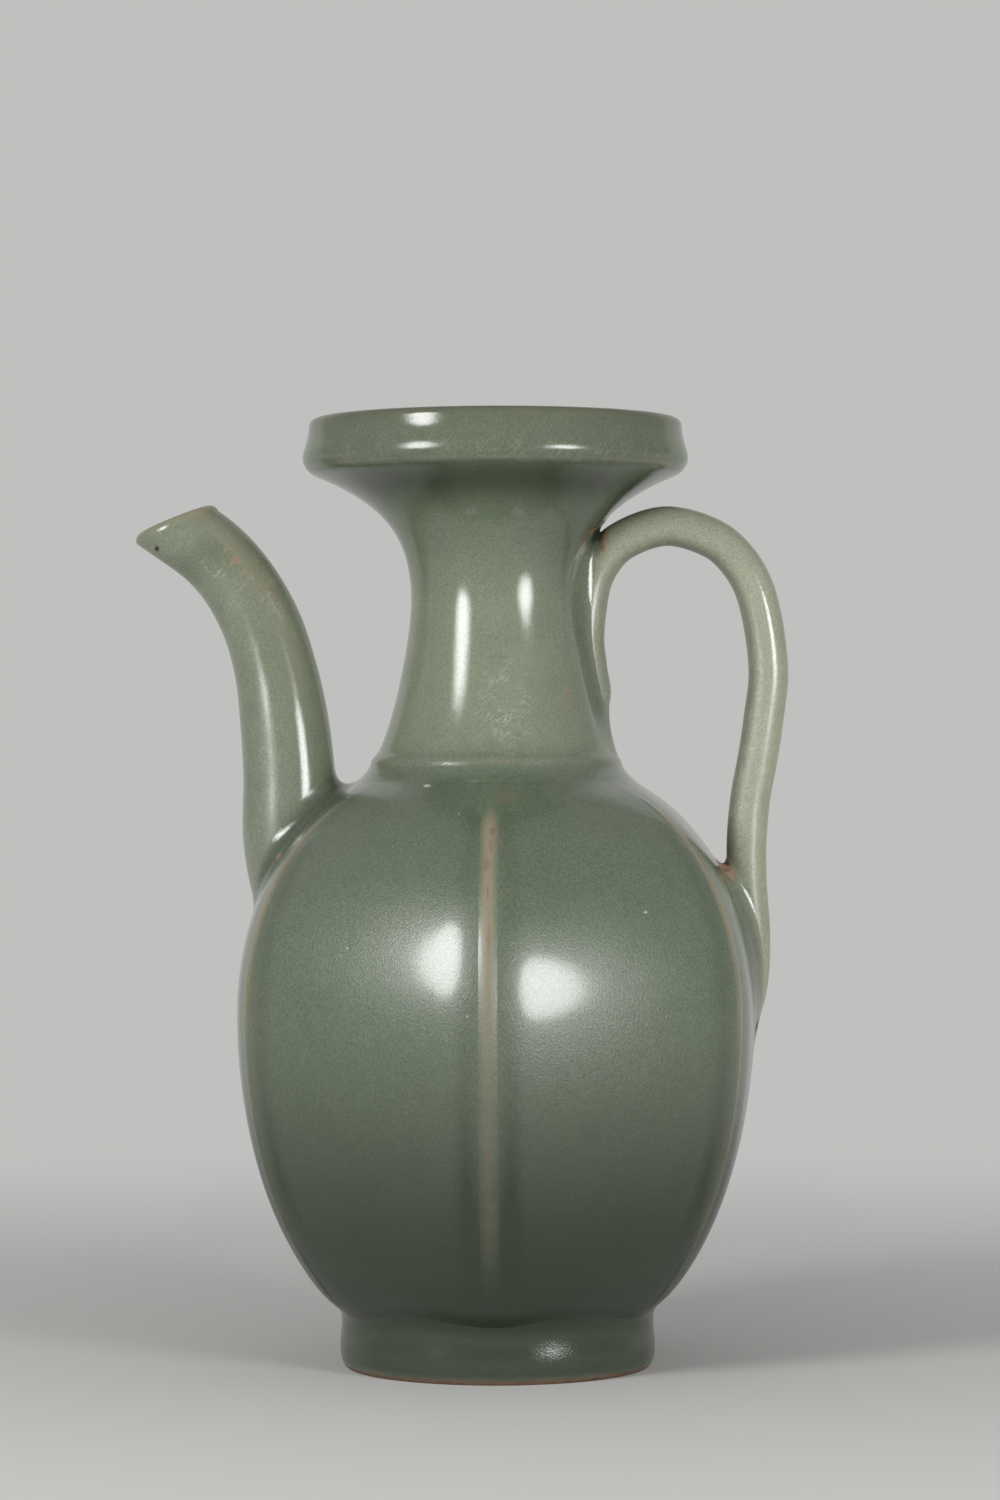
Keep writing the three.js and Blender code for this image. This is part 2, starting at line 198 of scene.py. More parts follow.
SPOUT_ROOT_HEIGHT = 0.133
SPOUT_WALL = 0.0036
SPOUT_MOUTH_TILT = np.radians(22)
SPOUT_LIP = 0.0022
ROD_AROUND = 144
SLIP_AROUND = 360
SLIP_ACROSS = 14
SLIP_PROUD = 0.00002
# Out from the wall at the root, up from the root, and the radius there, in millimetres
SPOUT_LINE = np.array([
    [-9, -27, 11.5], [-3.2, -14, 12.3], [0, 0, 12.1], [0.4, 17, 11.7], [1.8, 32, 11.2],
    [3.8, 43.5, 10.5], [7.1, 54.5, 10.1], [12.9, 65.3, 9.7], [19.7, 73.2, 9.5], [31, 81.3, 9.3],
    [42, 88.5, 9.1],
]) / 1000


def wall_radius(azimuth, height):
    """Radius of the lobed wall from the pot's axis."""
    return outline_radius(height) * (1 + lobe(azimuth, height)[0])


def wall_gap(points):
    """How far points stand out from the wall, along the radius: negative inside the pot."""
    x, y = points[..., 0] - AXIS_X, points[..., 1]
    return np.hypot(x, y) - wall_radius(np.arctan2(y, x), points[..., 2])


def on_wall(points):
    """Points moved along the radius onto the wall."""
    azimuth = np.arctan2(points[..., 1], points[..., 0] - AXIS_X)
    return turned(outline_radius(points[..., 2]), points[..., 2], azimuth)


LAYERS = ("pool", "thin", "bare", "worn", "pale", "satin")


def closed_skin(name, grid, **layers):
    """A closed surface from a grid of points (rows, around, 3) that meets itself both ways, with
    its faces turned out and each layer kept as a value of every point, 0 if it isn't given."""
    rows, around = grid.shape[:2]
    index = np.arange(rows * around).reshape(rows, around)
    down, side = np.roll(index, -1, 0), np.roll(index, -1, 1)
    quads = np.stack([index, side, np.roll(down, -1, 1), down], axis=-1).reshape(-1, 4)
    points = grid.reshape(-1, 3)
    a, b, c, d = (points[quads[:, k]] for k in range(4))
    volume = np.einsum("ij,ij->i", a, np.cross(b, c) + np.cross(c, d)).sum()
    if volume < 0:
        quads = quads[:, ::-1]
    mesh = bpy.data.meshes.new(name)
    mesh.from_pydata(points.tolist(), [], quads.tolist())
    for layer in LAYERS:
        values = np.broadcast_to(layers.get(layer, 0.0), (rows, around)).astype(np.float32)
        mesh.attributes.new(layer, "FLOAT", "POINT").data.foreach_set("value", values.ravel())
    bm = bmesh.new()
    bm.from_mesh(mesh)
    bmesh.ops.remove_doubles(bm, verts=bm.verts, dist=1e-7)
    bm.to_mesh(mesh)
    bm.free()
    mesh.shade_smooth()
    mesh.set_sharp_from_angle(angle=np.radians(50))
    piece = bpy.data.objects.new(name, mesh)
    bpy.context.collection.objects.link(piece)
    return piece


class Wire:
    """A socket of a material, with arithmetic that adds Math nodes."""

    def __init__(self, tree, socket):
        self.tree, self.socket = tree, socket

    def node(self, kind, out=0, settings=None, **inputs):
        """A new node of this kind, with its settings and the values or links of its inputs: i0 is
        the first input, and any other name is an input's own name."""
        made = self.tree.nodes.new(kind)
        for key, value in (settings or {}).items():
            setattr(made, key, value)
        for key, value in inputs.items():
            number = key[1:]
            socket = made.inputs[int(number)] if number.isdigit() else made.inputs[key.replace("_", " ")]
            if isinstance(value, Wire):
                self.tree.links.new(value.socket, socket)
            else:
                socket.default_value = value
        return Wire(self.tree, made.outputs[out])

    def maths(self, operation, *others):
        """A Math node with this value first and the others after it."""
        return self.node("ShaderNodeMath", settings={"operation": operation},
                         **{f"i{k}": v for k, v in enumerate((self, *others))})

    def vector(self, operation, *others, out=0):
        """A Vector Math node with this vector first and the others after it."""
        return self.node("ShaderNodeVectorMath", out=out, settings={"operation": operation},
                         **{f"i{k}": v for k, v in enumerate((self, *others))})

    def __add__(self, other):
        return self.maths("ADD", other)

    __radd__ = __add__

    def __mul__(self, other):
        return self.maths("MULTIPLY", other)

    __rmul__ = __mul__

    def __sub__(self, other):
        return self.maths("SUBTRACT", other)

    def __rsub__(self, other):
        return self.maths("MULTIPLY_ADD", -1.0, other)

    def ramp(self, low, high):
        """0 below low, 1 above high, smooth between them."""
        return self.node("ShaderNodeMapRange", settings={"interpolation_type": "SMOOTHSTEP"},
                         Value=self, From_Min=low, From_Max=high)

    def blend(self, below, above):
        """A colour between two, by this factor."""
        return self.node("ShaderNodeMix", out=2, settings={"data_type": "RGBA"}, i0=self, i6=below, i7=above)


def tint(red, green, blue):
    """A colour given in the 0 to 255 of a screen, as the linear colour that shaders take."""
    c = np.array([red, green, blue]) / 255
    return (*np.where(c < 0.04045, c / 12.92, ((c + 0.055) / 1.055) ** 2.4), 1)


GLAZE_GREEN = tint(104, 120, 95)
GLAZE_GREY = tint(115, 126, 106)
GLAZE_PALE = tint(176, 182, 159)
GLAZE_DEEP = tint(42, 53, 36)
GLAZE_BUFF = tint(157, 146, 123)
CLAY_RUST = tint(98, 74, 50)
CLAY_ORANGE = tint(176, 149, 126)
SCRATCH = tint(196, 190, 166)
SCRATCH_SLANT = np.radians(38)
SCRATCH_STRETCH = 6.0
GLAZE_IOR = 1.62
FILM_ROUGHNESS = 0.14
BUMP_DEPTH = 0.00012


def celadon(name, marks=()):
    """Celadon glaze over grey stoneware, told by the layers how it lies: a clouded green, deep where it
    pools and where shade is painted in, pale where it is milky, buff where it is thin over the clay,
    with bare clay, worn scratches, and a satin or a glossy face. A noise takes how often it repeats in
    a metre. A mark is a small blemish: a place, its half-width and half-height, its strength and its colour."""
    material = bpy.data.materials.new(name)
    material.use_nodes = True
    tree = material.node_tree
    shader = tree.nodes["Principled BSDF"]
    start = Wire(tree, None)
    place = start.node("ShaderNodeTexCoord", out="Object")

    def noise(per_metre, detail, rough=0.5, over=place):
        return start.node("ShaderNodeTexNoise", Vector=over, Scale=per_metre, Detail=detail, Roughness=rough)

    pool, thin, bare, worn, pale, satin = (
        start.node("ShaderNodeAttribute", out="Fac", settings={"attribute_name": layer}) for layer in LAYERS)
    clouds, mottle = noise(14, 3), noise(110, 4, 0.6)
    grain, specks = noise(1800, 3, 0.7), noise(2000, 2)
    colour = clouds.ramp(0.3, 0.7).blend(GLAZE_GREEN, GLAZE_GREY)
    colour = pale.blend(colour, GLAZE_PALE)
    colour = (mottle.ramp(0.45, 0.75) * 0.1).blend(colour, GLAZE_DEEP)
    colour = (grain.ramp(0.4, 0.65) * (0.26 + satin * 0.12)).blend(colour, GLAZE_DEEP)
    # Painted shade: the pool layer darkens to the deep green both where the glaze pools and where shade is
    # painted in.
    colour = (pool * (0.8 + clouds * 0.3)).blend(colour, GLAZE_DEEP)
    edge = thin + (mottle - 0.5) * 0.4 * thin.ramp(0.02, 0.3)
    colour = edge.ramp(0.0, 1.15).blend(colour, GLAZE_BUFF)
    colour = (specks.ramp(0.56, 0.72) * 0.32 * (1 - pool)).blend(colour, GLAZE_BUFF)

    # Fine slanting scratches where the glaze is worn: thin bands of equal value of a drawn-out noise
    slant = start.node("ShaderNodeMapping", settings={"vector_type": "TEXTURE"}, Vector=place,
                       Rotation=(0.0, SCRATCH_SLANT, 0.0), Scale=(1.0, 1.0, SCRATCH_STRETCH))
    strands = 1 - (noise(900, 2, over=slant) - 0.5).maths("ABSOLUTE").ramp(0.0, 0.05)
    scratch = strands * noise(200, 2).ramp(0.42, 0.58) * worn
    colour = (scratch * 0.6).blend(colour, SCRATCH)

    clay = (noise(420, 4).ramp(0.25, 0.6) * (1 - pool)).blend(CLAY_RUST, CLAY_ORANGE)
    cover = (bare + (noise(240, 4) - 0.5) * 0.7 * bare.ramp(0.02, 0.4)).ramp(0.35, 0.65)
    colour = cover.blend(colour, clay)
    ragged = (noise(700, 3) - 0.5) * 1.6
    for spot, half_width, half_height, strength, shade in marks:
        way = place.vector("SUBTRACT", spot).vector("DIVIDE", (half_width, 3 * half_width, half_height))
        near = (1 - (way.vector("LENGTH", out=1) + ragged).ramp(0.4, 1.3)) * strength
        colour = near.blend(colour, shade)
    tree.links.new(colour.socket, shader.inputs["Base Color"])
    gloss = 0.05 + satin * 0.18 + worn * 0.3 + grain * 0.06 + thin * 0.12 + cover * 0.4
    tree.links.new(gloss.socket, shader.inputs["Roughness"])
    film = satin * (1 - thin) * (1 - worn) * (1 - cover) * (1 - pool)
    tree.links.new(film.socket, shader.inputs["Coat Weight"])
    shader.inputs["Coat Roughness"].default_value = FILM_ROUGHNESS
    shader.inputs["IOR"].default_value = GLAZE_IOR
    height = grain * (0.6 + satin * 1.5) + noise(60, 3) * 1.2 + cover * noise(900, 5) * 1.5 - scratch * 0.25
    bump = start.node("ShaderNodeBump", Height=height, Strength=0.35, Distance=BUMP_DEPTH)
    tree.links.new(bump.socket, shader.inputs["Normal"])
    return material


def at(azimuth, height):
    """A place on the wall, by degrees from the side that faces the eye, positive to the right."""
    return tuple(float(v) for v in on_wall(turned(
        np.array([BELLY_RADIUS]), np.array([height]), np.radians(np.array([azimuth - 90]))))[0])


IRON = tint(46, 34, 22)
REDDISH = tint(166, 136, 110)
chip = (at(-73.5, 0.1293), 0.0013, 0.0013, 0.9, REDDISH)
glaze = celadon("celadon_glaze", [chip])


def finish(piece, slot, *nodes, coat=glaze):
    """The piece gets its glaze and stands for its CAD nodes, which are hidden. The slot is not used."""
    piece.data.materials.append(coat)
    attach(piece, "root")
    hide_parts(*nodes)


def tangents(points):
    """Unit vector along a polyline at each of its points."""
    along = np.gradient(points, axis=0)
    return along / np.linalg.norm(along, axis=1, keepdims=True)


def curve_through(points, count):
    """A centripetal Catmull-Rom curve through points, sampled evenly in length, with its unit
    tangents. Further columns, such as a radius, are carried along."""
    padded = np.concatenate([[2 * points[0] - points[1]], points, [2 * points[-1] - points[-2]]])
    s = np.linspace(0, 1, 60, endpoint=False)[:, None]
    parts = []
    for p in zip(padded, padded[1:], padded[2:], padded[3:]):
        steps = [np.linalg.norm((b - a)[:2]) ** 0.5 for a, b in zip(p, p[1:])]
        knots = np.concatenate([[0], np.cumsum(steps)])
        t = knots[1] + s * (knots[2] - knots[1])

        def between(a, b, start, end):
            return a + (b - a) * (t - start) / (end - start)

        low, middle, high = (between(p[k], p[k + 1], knots[k], knots[k + 1]) for k in range(3))
        parts.append(between(between(low, middle, knots[0], knots[2]),
                             between(middle, high, knots[1], knots[3]), knots[1], knots[2]))
    dense = np.concatenate(parts + [points[-1:]])
    run = travelled(dense[:, :2])
    even = np.linspace(0, run[-1], count)
    line = np.stack([np.interp(even, run, dense[:, k]) for k in range(points.shape[1])], axis=1)
    return line, tangents(line[:, :2])


class Rod:
    """A round rod along a curve in the XZ plane, through points of x, z and radius. A place on it is
    a share of the way along it and an angle round it, which is 0 right of the way along."""

    def __init__(self, points):
        self.line, self.along = curve_through(points, 1200)
        self.share = np.linspace(0, 1, len(self.line))

    def centre(self, share):
        """x, z and radius of the middle line, and its direction in x and z."""
        return [np.interp(share, self.share, column) for column in (*self.line.T, *self.along.T)]

    def surface(self, share, angle, less=0.0):
        """The middle line plus the radius, less a wall, in the direction of the angle."""
        x, z, radius, ax, az = self.centre(share)
        radius = radius - less
        across = radius * np.cos(angle)
        return np.stack([x + az * across, radius * np.sin(angle), z - ax * across], axis=-1)

    def normal(self, share, angle):
        """The direction of the angle, square to the middle line."""
        _, _, _, ax, az = self.centre(share)
        return np.stack([az * np.cos(angle), np.sin(angle) + 0 * az, -ax * np.cos(angle)], axis=-1)

    def snap(self, points):
        """Points moved onto the rod's surface, square to its middle line."""
        flat = points[:, [0, 2]]
        near = np.argmin(((flat[:, None, :] - self.line[None, :, :2]) ** 2).sum(-1), axis=1)
        x, z, radius = self.line[near].T
        spoke = points - np.stack([x, 0 * x, z], axis=1)
        return points - spoke + spoke / np.linalg.norm(spoke, axis=1, keepdims=True) * radius[:, None]


def crossing(test, low, high, angle):
    """For each angle, the share between low and high where test changes sign, by halving."""
    low, high = np.full(angle.shape, low), np.full(angle.shape, high)
    sign = np.sign(test(low, angle))
    for _ in range(40):
        middle = (low + high) / 2
        same = np.sign(test(middle, angle)) == sign
        low, high = np.where(same, middle, low), np.where(same, high, middle)
    return (low + high) / 2


def towards(direction, other):
    """Each direction, turned round where it points away from the other."""
    return direction * np.sign((direction * other).sum(1, keepdims=True))


def slip_fillet(name, rod, share, angle, least, most, spread=1.0, crotch_at=0.0, clay=0.0, rust=0.0,
                **sides):
    """A strip of slip along the loop where a rod meets the wall. Its section is a curve that leaves
    the rod and the wall nearly in their own direction, closed by a point inside the clay. It reaches
    furthest in the crotch, at the given angle, and spread times further on the wall than on the
    rod. In the crotch, clay says how bare the glaze left the slip, and rust its two edges. Each
    further layer is a pair of values, beside the rod and beside the wall."""
    loop = rod.surface(share, angle)
    run = travelled(loop[np.r_[:len(loop), 0]])
    even = np.linspace(0, run[-1], SLIP_AROUND + 1)[:-1]
    share = np.interp(even, run, np.r_[share, share[0]])
    angle = np.interp(even, run, np.r_[angle, angle[0] + 2 * np.pi])
    loop = rod.surface(share, angle)
    along = np.roll(loop, -1, 0) - np.roll(loop, 1, 0)
    along /= np.linalg.norm(along, axis=1, keepdims=True)
    from_rod = rod.normal(share, angle)
    steps = 0.0003 * np.eye(3)
    slope = np.stack([wall_gap(loop + step) - wall_gap(loop - step) for step in steps], axis=1)
    from_wall = slope / np.linalg.norm(slope, axis=1, keepdims=True)
    up_rod = towards(np.cross(along, from_rod), from_wall)
    up_wall = towards(np.cross(along, from_wall), from_rod)
    crotch = np.clip(np.cos(angle - crotch_at), 0, 1)[:, None] ** 2
    reach = least + (most - least) * crotch
    top = rod.snap(loop + reach * up_rod) + SLIP_PROUD * from_rod
    foot = on_wall(loop + spread * reach * up_wall) + SLIP_PROUD * from_wall
    t = np.linspace(0, 1, SLIP_ACROSS)[:, None, None]
    bend = 0.75 * loop + 0.125 * (top + foot)
    section = (1 - t) ** 2 * top + 2 * t * (1 - t) * bend + t ** 2 * foot
    core = loop - 0.4 * reach * (from_rod + from_wall)
    grid = np.concatenate([section, core[None]])
    arc = np.sin(np.pi * t[:, 0])
    inmost = np.clip(np.cos(angle - crotch_at) * 5 - 3.9, 0, 1)
    inside = np.ones((1, SLIP_AROUND))
    pool = np.concatenate([0.5 * arc * (1 - clay * crotch.T) + 0.9 * rust * inmost, inside])
    bare = np.concatenate([inmost * (clay * arc + rust * (1 - arc)), 0 * inside])
    down = np.append(t.ravel(), 1)[:, None]
    layers = {layer: first + (last - first) * down for layer, (first, last) in sides.items()}
    return closed_skin(name, grid, pool=pool, bare=bare, **layers), loop


root_x = AXIS_X - wall_radius(np.pi, SPOUT_ROOT_HEIGHT)
spout_points = SPOUT_LINE * [-1, 1, 1] + [root_x, SPOUT_ROOT_HEIGHT, 0]
spout_rod = Rod(spout_points)
mouth_centre = np.array([spout_points[-2, 0], 0, spout_points[-2, 1]])
mouth_up = np.array([-np.sin(SPOUT_MOUTH_TILT), 0, np.cos(SPOUT_MOUTH_TILT)])
turn = np.arange(ROD_AROUND) * 2 * np.pi / ROD_AROUND
# Angle round a rod from its angle of 0, either way round
off_right = np.abs(np.arctan2(np.sin(turn), np.cos(turn)))
half_turn = np.linspace(0, np.pi, 18)[1:-1]


def below_mouth(share, angle, less=0.0):
    """How far a point of the spout lies below its lip's start, negative past it."""
    return -((spout_rod.surface(share, angle, less) - mouth_centre) @ mouth_up) - SPOUT_LIP


spout_end = crossing(below_mouth, 0.5, 1.0, turn)
bore_end = crossing(lambda s, a: below_mouth(s, a, SPOUT_WALL), 0.5, 1.0, turn)
outside = spout_rod.surface(np.linspace(0, 1, 260)[:, None] * spout_end, turn)
inside = spout_rod.surface((1 - np.linspace(0, 1, 90)[:, None]) * bore_end, turn, SPOUT_WALL)
swing = half_turn[:, None, None]
lip = ((outside[-1] + inside[0]) / 2 + (outside[-1] - inside[0]) / 2 * np.cos(swing)
       + SPOUT_LIP * np.sin(swing) * mouth_up)
grid = np.concatenate([outside, lip, inside])
below = (mouth_centre - grid) @ mouth_up
height = grid[..., 2]
streak = bell(off_right, 0.9, 0.42) * np.clip((height - 0.15) / 0.03, 0, 1)
outer_front = bell(off_right, 2.1, 0.5)
spout_marks = [
    ((root_x - 0.0334, -0.0060, 0.2073), 0.0008, 0.0008, 1, IRON),
    ((root_x - 0.0133, -0.0088, 0.2040), 0.0014, 0.0010, 0.5, REDDISH),
    ((root_x - 0.0112, -0.0088, 0.2012), 0.0007, 0.0007, 0.6, REDDISH),
    ((root_x - 0.0156, -0.0088, 0.2064), 0.0006, 0.0006, 0.6, REDDISH),
    ((root_x - 0.0088, -0.0088, 0.1965), 0.0006, 0.0006, 0.4, REDDISH),
]
spout = closed_skin(
    "glazed_spout", grid, pool=0.3 * bell(below, 0.013, 0.005) * (off_right > 1.2), pale=0.25,
    thin=np.clip(0.6 * bell(below, 0, 0.0016) + 0.1 + 0.34 * streak, 0, 1),
    satin=0.8 * outer_front * (1 - np.clip((height - 0.155) / 0.03, 0, 1)),
    worn=np.maximum(0.5 * bell(height, 0.2, 0.012), 0.35 * outer_front),
)
finish(spout, "celadon_glaze", "spout", coat=celadon("celadon_glaze_spout", spout_marks))

spout_share = crossing(lambda s, a: wall_gap(spout_rod.surface(s, a)), 0.02, 0.45, turn)
spout_slip, spout_loop = slip_fillet("slip_at_spout", spout_rod, spout_share, turn, least=0.004, most=0.007,
                                     pale=(0.25, 0), satin=(0.3, 1))
finish(spout_slip, "celadon_glaze")


# Handle: a rod of stoneware rolled on the bench and bent, pressed along the neck, arched out under
# the dish and brought down to lie on the belly, with its end drawn thin. Slip holds both ends, and
# rusty clay shows in the crotch of each.

HANDLE_RADIUS = 0.00506
HANDLE_REACH = 0.0691
HANDLE_TOP = DISH_CORNER - 0.0141


def by_wall(height, proud, share):
    """A point of the handle's middle line at a height, standing proud of the wall."""
    return [AXIS_X + outline_radius(height) + proud, height, HANDLE_RADIUS * share]


def by_arch(back, drop):
    """A point given back from the handle's furthest reach and down from its top."""
    return [AXIS_X + HANDLE_REACH - back, HANDLE_TOP - drop, HANDLE_RADIUS]


handle_rod = Rod(np.array([
    by_wall(0.163, -0.0045, 0.7), by_wall(0.1695, -0.0012, 1), by_wall(0.176, -0.0005, 1),
    by_wall(0.184, 0.0001, 1), by_wall(0.192, 0.0016, 1),
    by_arch(0.0445, 0.0136), by_arch(0.0416, 0.0081), by_arch(0.037, 0.0037), by_arch(0.0258, 0),
    by_arch(0.0145, 0.003), by_arch(0.009, 0.0072), by_arch(0.0036, 0.0158), by_arch(0, 0.036),
    by_arch(0.0012, 0.0486), by_arch(0.0027, 0.0586), by_arch(0.0046, 0.0688),
    by_wall(0.133, 0.0112, 1), by_wall(0.123, 0.0054, 0.97), by_wall(0.108, 0.0018, 0.85),
    by_wall(0.095, -0.0002, 0.7), by_wall(0.081, -0.0035, 0.45),
]))


def off_wall(share, angle):
    """How far a point of the handle stands out from the wall."""
    return wall_gap(handle_rod.surface(share, angle))


low_share = crossing(off_wall, 0.7, 0.999, turn)
root_share = crossing(off_wall, 0.001, 0.35, turn)
root_edge = handle_rod.surface(root_share, turn)
crevice = root_edge[np.argmax(root_edge[:, 2])]


def crevice_gap(grid):
    """Distance of each point from the narrow gap between the handle's root and the flare."""
    return np.linalg.norm((grid - crevice) * [1, 0.6, 1], axis=-1)


skin = handle_rod.surface(np.linspace(0, 1, 520)[:, None], turn)
x, z, *_ = handle_rod.centre(np.array([0.0, 1.0]))
poles = [np.broadcast_to([x[k], 0, z[k]], (1, ROD_AROUND, 3)) for k in (0, 1)]
grid = np.concatenate([poles[0], skin, poles[1]])
inner_side = np.clip(np.cos(turn), 0, 1) ** 2
outer_side = np.clip(-np.cos(turn), 0, 1) ** 1.5
height = grid[..., 2]
dull = np.clip((0.186 - height) / 0.02, 0, 1) * (grid[..., 0] > AXIS_X + 0.045)
rubbed = bell(off_right, 1.1, 0.42)
# The side of the loop that faces the pot is darker.
handle = closed_skin(
    "glazed_handle", grid, pool=0.5 * inner_side, thin=0.1 + 0.3 * outer_side,
    bare=0.75 * bell(crevice_gap(grid), 0, 0.0075), worn=np.clip(0.05 + 0.55 * rubbed + 0.6 * dull, 0, 1),
    pale=0.95 - 0.15 * bell(height, HANDLE_TOP, 0.012), satin=0.3 * dull,
)
finish(handle, "celadon_glaze", "handle")

low_slip, low_loop = slip_fillet("slip_at_handle_end", handle_rod, low_share, turn, least=0.0072,
                                 most=0.0078, spread=1.4, clay=1.0, pale=(0.92, 0), satin=(0.3, 1))
finish(low_slip, "celadon_glaze")
PINHOLE = tint(214, 204, 178)
neck_glaze = celadon("celadon_glaze_neck", [
    (at(44, 0.1687), 0.0028, 0.0035, 0.12, REDDISH), (at(47, 0.171), 0.0008, 0.001, 0.4, REDDISH),
    (at(-21, 0.186), 0.0003, 0.0003, 0.7, PINHOLE),
])
root_slip, root_loop = slip_fillet("slip_at_handle_root", handle_rod, root_share, turn, least=0.0075,
                                   most=0.0048, spread=1.3, crotch_at=np.pi, rust=0.75, pale=(0.92, 0.3))
finish(root_slip, "celadon_glaze", coat=neck_glaze)


# Foot ring: stoneware, turned from leather-hard clay, with a hollow underneath. It is glazed outside
# down to a bare edge that the kiln burnt rust brown.

FOOT_WALL = 0.006
FOOT_BEVEL = 0.0009
BARE_EDGE = 0.0011
AROUND = 384
ring = (np.arange(AROUND) * 2 * np.pi / AROUND)[None, :]


def stretch(low, high):
    """The outline between two heights, which it passes once, with both ends exact."""
    z = outline[:, 1]
    inside = outline[(z > low + 1e-5) & (z < high - 1e-5)]
    ends = [[outline_radius(h), h] for h in (low, high)]
    return np.concatenate([ends[:1], inside, ends[1:]])


def thrown(profile):
    """The grid of a profile of (radius, height) carried round the pot."""
    return turned(profile[:, :1], profile[:, 1:], ring)


body_marks = [
    (at(-26, 0.1472), 0.0009, 0.0004, 1, PINHOLE), (at(-9.5, 0.1405), 0.0003, 0.0003, 0.6, PINHOLE),
    (at(38, 0.1165), 0.0004, 0.0004, 0.9, PINHOLE), (at(-4, 0.0925), 0.0003, 0.0003, 0.5, PINHOLE),
    (at(14, 0.071), 0.0005, 0.0005, 0.4, GLAZE_DEEP), (at(-33, 0.108), 0.0003, 0.0003, 0.5, PINHOLE),
    (at(-17, 0.062), 0.0005, 0.0005, 0.4, GLAZE_DEEP), (at(5, 0.1445), 0.003, 0.0016, 0.16, REDDISH),
]
body_glaze = celadon("celadon_glaze_body", body_marks + [chip])
foot_inner = FOOT_RADIUS - FOOT_WALL
grid = thrown(np.concatenate([
    stretch(0.0, FOOT_TOP),
    [[foot_inner, FOOT_TOP], [foot_inner, FOOT_BEVEL], [foot_inner + FOOT_BEVEL, 0]],
]))
height = grid[..., 2]
# Painted shade: the foot is darkened nearly to the deep green, partly for thick glaze and partly as the
# shade of the lowest part.
foot = closed_skin(
    "glazed_foot", grid, pool=0.85 + 0.15 * bell(height, FOOT_TOP + 0.001, 0.0045),
    thin=0.3 * bell(height, 0.0012, 0.0012), bare=np.clip(1.5 - height / BARE_EDGE, 0, 1), satin=0.4,
)
finish(foot, "celadon_glaze", "foot_ring", coat=body_glaze)


# Body: two stoneware halves pressed into a six-sided mould and luted at the belly, with the joint
# scraped smooth under the glaze. The upper half carries the shoulder and the seat of the neck, and
# the lower half the floor.

WALL = 0.0042
FLOOR_TOP = 0.013
FLOOR_UNDER = 0.007
PLUG_CLEARANCE = 0.0003


def inward(points, distance):
    """The outline moved square to itself towards the axis."""
    along = tangents(points)
    return points + distance * np.stack([-along[:, 1], along[:, 0]], axis=1)


def loops_gap(grid):
    """Distance of each point of a grid from the nearest point of the joints' loops."""
    marks = np.concatenate([spout_loop[::3], low_loop[::3], root_loop[::3]])
    flat = grid.reshape(-1, 3)
    least = np.min([((flat - mark) ** 2).sum(1) for mark in marks], axis=0)
    return np.sqrt(least).reshape(grid.shape[:2])


def ease(values, low, high):
    """0 below low, 1 above high and smooth between them; the other way round if low is the higher."""
    share = np.clip((values - low) / (high - low), 0, 1)
    return share ** 2 * (3 - 2 * share)


def run_down_and_shade(height):
    """How dark the glaze is at a height of the body: it has run down and fills the crease, and painted
    shade darkens it further towards the bottom and in the crease over the foot.
    """
    return (0.3 * bell(height, FOOT_TOP + 0.0015, 0.0045) + 0.97 * ease(height, 0.11, 0.03)
            + 0.05 * ease(height, 0.112, 0.132))


def body_layers(grid):
    """Glaze thick low down and in the creases at the foot and the joints, with painted shade added low
    down and in the crease at the foot, and thin by the ribs.
    """
    height = grid[..., 2]
    off_corner = 1 - lobe(ring, height)[1]
    pool = run_down_and_shade(height) + 0.35 * bell(loops_gap(grid), 0, 0.005) + 0.18 * bell(off_corner, 0.16, 0.07)
    shows = ease(height, 0.014, 0.045) * ease(height, 0.147, 0.138)
    return {"pool": np.clip(pool, 0, 1), "thin": 0.3 * shows * bell(off_corner, 0, 0.06),
            "worn": 0.12 * bell(height, 0.1, 0.03), "satin": 1.0}


outer = stretch(FOOT_TOP, BELLY_HEIGHT)
inner = inward(outer, WALL)[::-3]
inner = inner[inner[:, 1] > FOOT_TOP + 1.2 * WALL]
inner[0, 1] = BELLY_HEIGHT
bowl = inner[-1, 0]
plug = foot_inner - PLUG_CLEARANCE
floor = [[bowl * 0.7, FLOOR_TOP + 0.0025], [bowl * 0.4, FLOOR_TOP + 0.0005], [0, FLOOR_TOP],
         [0, FLOOR_UNDER], [plug * 0.5, FLOOR_UNDER], [plug, FLOOR_UNDER], [plug, FOOT_TOP]]
grid = thrown(np.concatenate([outer, inner, floor]))
body_lower = closed_skin("glazed_body_lower", grid, **body_layers(grid))
finish(body_lower, "celadon_glaze", "body_lower", coat=body_glaze)

outer = stretch(BELLY_HEIGHT, NECK_SEAT)
inner = inward(outer, WALL)[::-3]
opening = NECK_SEAT_RADIUS - 1.4 * WALL
inner = inner[inner[:, 0] > opening]
inner[-1, 1] = BELLY_HEIGHT
grid = thrown(np.concatenate([outer, [[opening, NECK_SEAT], [opening, inner[0, 1]]], inner]))
body_upper = closed_skin("glazed_body_upper", grid, **body_layers(grid))
finish(body_upper, "celadon_glaze", "body_upper", coat=body_glaze)


# Neck: a waisted stoneware tube, thrown on the wheel and set on the shoulder, with a ring of clay
# smoothed over the joint. Its glaze is milky, and scratched low in front.

def crevice_pool(grid):
    """How much more the glaze pools near the handle's root: a bell over the distance from it."""
    return 0.6 * bell(crevice_gap(grid), 0, 0.012)


def crevice_clay(grid, rows):
    """How bare the clay lies near the handle's root: a bell over the distance from it, on the first
    rows of the grid, which are its outside."""
    return 0.72 * bell(crevice_gap(grid), 0, 0.0092) * (np.arange(len(grid)) < rows)[:, None]


